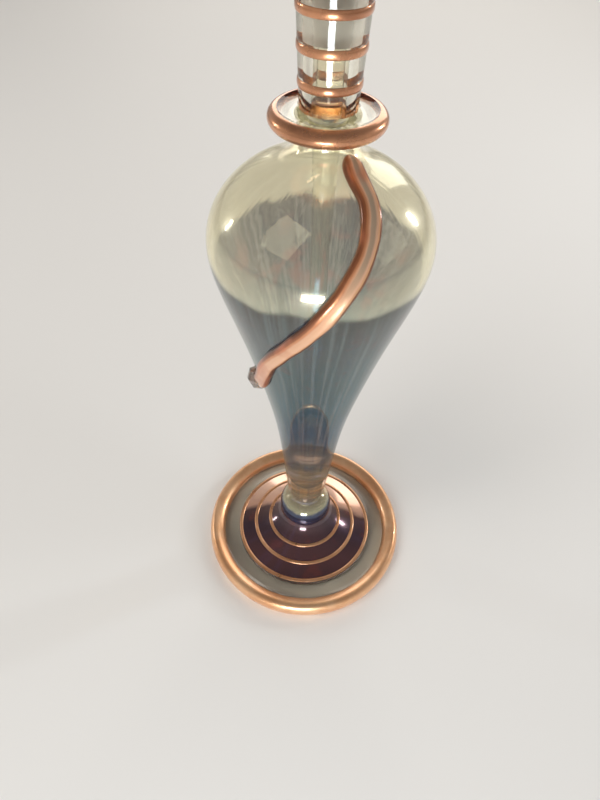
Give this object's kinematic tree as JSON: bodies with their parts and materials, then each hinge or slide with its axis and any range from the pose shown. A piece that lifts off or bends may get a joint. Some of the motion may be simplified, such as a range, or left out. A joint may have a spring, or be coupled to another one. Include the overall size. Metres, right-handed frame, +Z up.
{
  "type": "glass perfume bottle",
  "caption": "Footed drop-shaped glass perfume bottle with an applied spiral trail, copper lustre bands and a ground stopper that carries a dip rod.",
  "frame": {"origin": "centre of the flat ring that the foot rests on", "axes": "+Z up along the bottle's axis of revolution, -Y the front, +X the right seen from the front"},
  "size_m": [0.06, 0.06, 0.1943],
  "materials": {
    "copper_lustre": "fired copper lustre on glass, glossy",
    "violet_lustre": "dark violet-brown iridescent lustre on glass",
    "clear_glass": "clear, faintly cream glass with a thin iridescent film",
    "blue_lustre_glass": "clear glass with a cream to teal-blue iridescent film",
    "ground_glass": "ground, translucent grey"
  },
  "bodies": {
    "bottle": {"foot_rim": "copper_lustre", "foot_dish": "clear_glass", "foot_cone": "violet_lustre", "foot_thread_outer": "copper_lustre", "foot_thread_middle": "copper_lustre", "foot_thread_inner": "copper_lustre", "stem_knop": "blue_lustre_glass", "bulb": "blue_lustre_glass", "spiral_trail": "clear_glass", "trail_lustre": "copper_lustre", "trail_end": "clear_glass", "neck_collar": "clear_glass", "collar_rim": "copper_lustre", "neck_tube": "clear_glass", "neck_lip": "clear_glass", "neck_band_1": "copper_lustre", "neck_band_2": "copper_lustre", "neck_band_3": "copper_lustre", "neck_band_4": "copper_lustre"},
    "stopper": {"stopper_plug": "ground_glass", "dip_rod": "clear_glass", "stopper_flange": "copper_lustre", "stopper_waist": "clear_glass", "finial_bulb": "blue_lustre_glass", "finial_band": "copper_lustre", "finial_tip": "clear_glass"}
  },
  "joints": [
    {"name": "stopper_lift", "type": "slide", "parent": "bottle", "child": "stopper", "axis": [0, 0, 1], "range_m": [0, 0.075]}
  ]
}
